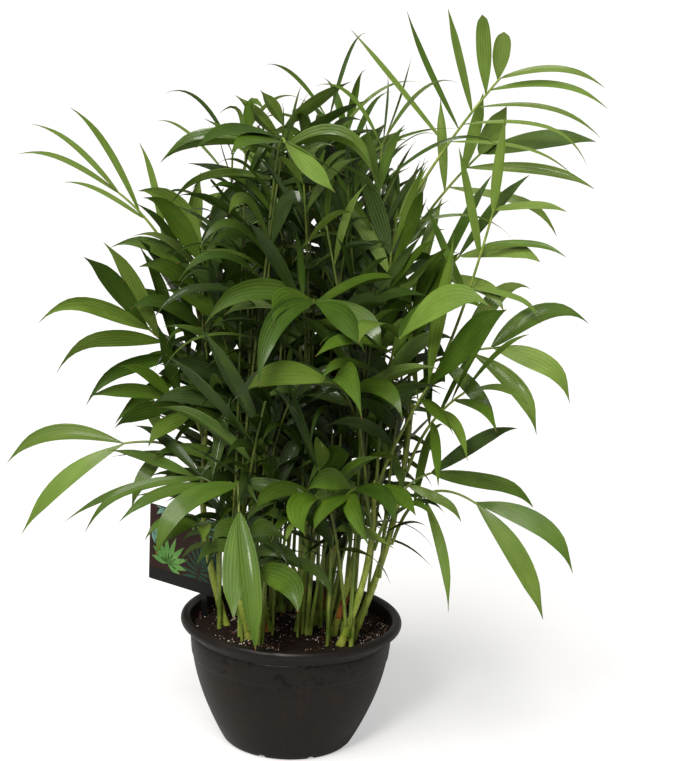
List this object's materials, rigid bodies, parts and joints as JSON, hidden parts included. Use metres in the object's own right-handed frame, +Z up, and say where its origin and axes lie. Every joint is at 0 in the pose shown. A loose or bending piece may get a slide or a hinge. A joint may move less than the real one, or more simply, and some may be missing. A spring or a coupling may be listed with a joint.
{
  "type": "potted bamboo palm",
  "caption": "Potted bamboo palm: leafy canes with arching feather-shaped fronds, rooted in a round bowl pot with a rolled rim and a plant label.",
  "frame": {"origin": "centre of the pot's flat underside, on the ground", "axes": "+Z up along the plant, -Y towards the viewer of the picture, +X to the right"},
  "size_m": [0.6146, 0.4901, 0.7926],
  "materials": {
    "cane": "smooth green stem with pale sheaths",
    "frond": "satin leaf, pleated along its length",
    "label_card": "printed, satin",
    "label_peg": "matt black",
    "pot": "satin near-black moulding",
    "soil": "crumbly potting soil with perlite"
  },
  "bodies": {
    "root": {"cane_01": "cane", "cane_02": "cane", "cane_03": "cane", "cane_04": "cane", "cane_05": "cane", "cane_06": "cane", "cane_07": "cane", "cane_08": "cane", "cane_09": "cane", "cane_10": "cane", "cane_11": "cane", "cane_12": "cane", "frond_01": "frond", "frond_02": "frond", "frond_03": "frond", "frond_04": "frond", "frond_05": "frond", "frond_06": "frond", "frond_07": "frond", "frond_08": "frond", "frond_09": "frond", "frond_10": "frond", "frond_11": "frond", "frond_12": "frond", "frond_13": "frond", "frond_14": "frond", "frond_15": "frond", "frond_16": "frond", "frond_17": "frond", "frond_18": "frond", "frond_19": "frond", "frond_20": "frond", "frond_21": "frond", "frond_22": "frond", "frond_23": "frond", "frond_24": "frond", "frond_25": "frond", "frond_26": "frond", "frond_27": "frond", "frond_28": "frond", "frond_29": "frond", "frond_30": "frond", "frond_31": "frond", "frond_32": "frond", "frond_33": "frond", "frond_34": "frond", "frond_35": "frond", "frond_36": "frond", "frond_37": "frond", "frond_38": "frond", "frond_39": "frond", "frond_40": "frond", "frond_41": "frond", "frond_42": "frond", "frond_43": "frond", "frond_44": "frond", "label_card": "label_card", "label_peg": "label_peg", "pot": "pot", "soil": "soil"}
  },
  "joints": []
}
